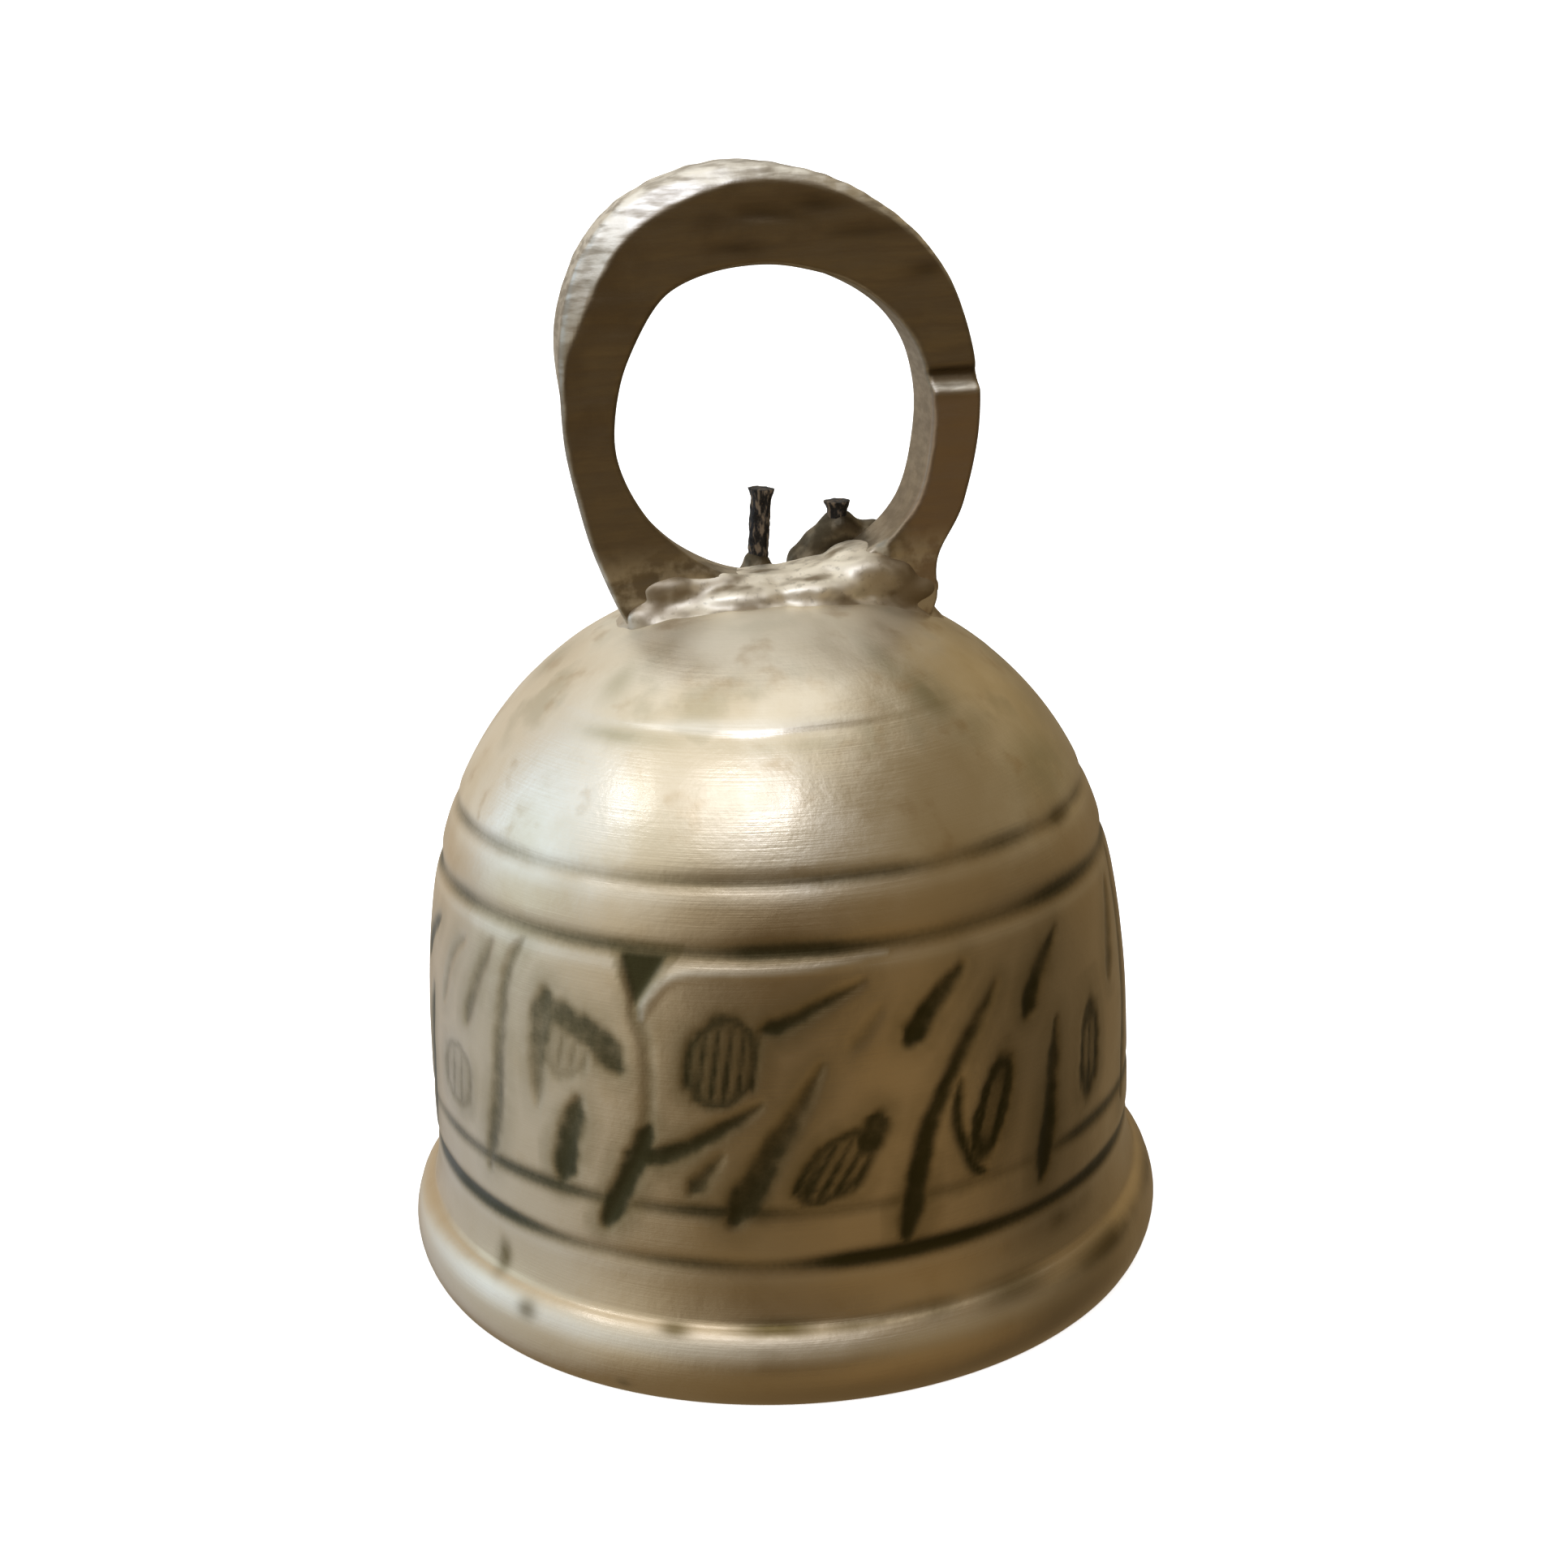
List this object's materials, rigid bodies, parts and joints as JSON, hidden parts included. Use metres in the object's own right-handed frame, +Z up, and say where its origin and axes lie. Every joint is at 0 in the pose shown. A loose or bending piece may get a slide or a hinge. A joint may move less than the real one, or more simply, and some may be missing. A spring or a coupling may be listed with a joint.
{
  "type": "hand bell",
  "caption": "Small brass hand bell with a turned and engraved dome, a hand-filed finger loop on its crown and a ball clapper hung on an iron staple.",
  "frame": {"origin": "middle of the lip's underside, on the bell's axis", "axes": "+Z up along the bell's axis, the finger loop lies in the XZ plane, -Y is the front"},
  "size_m": [0.06, 0.06, 0.0835],
  "materials": {
    "turned_brass": "aged, softly polished, with dark filling in the grooves",
    "filed_brass": "coarse filed, dark patina",
    "braze": "lumpy cast, dull shine",
    "dark_solder": "dull, sooty",
    "iron_wire": "black oxide with brown rust",
    "clapper_brass": "as cast, worn bright where it strikes"
  },
  "bodies": {
    "bell": {"bell_shell": "turned_brass", "loop_handle": "filed_brass", "braze_seam": "braze", "leg_solder": "dark_solder", "clapper_staple": "iron_wire"},
    "link": {"clapper_link": "iron_wire"},
    "clapper": {"clapper_rod": "iron_wire", "clapper_ball": "clapper_brass"}
  },
  "joints": [
    {"name": "link_swing", "type": "hinge", "parent": "bell", "child": "link", "pos_m": [0.0012, 0.0012, 0.041], "axis": [1, 0, 0], "range_deg": [-39, 33.5]},
    {"name": "clapper_swing", "type": "hinge", "parent": "link", "child": "clapper", "pos_m": [0.0012, 0.0012, 0.0374], "axis": [0, 1, 0], "range_deg": [-6, 6]}
  ]
}
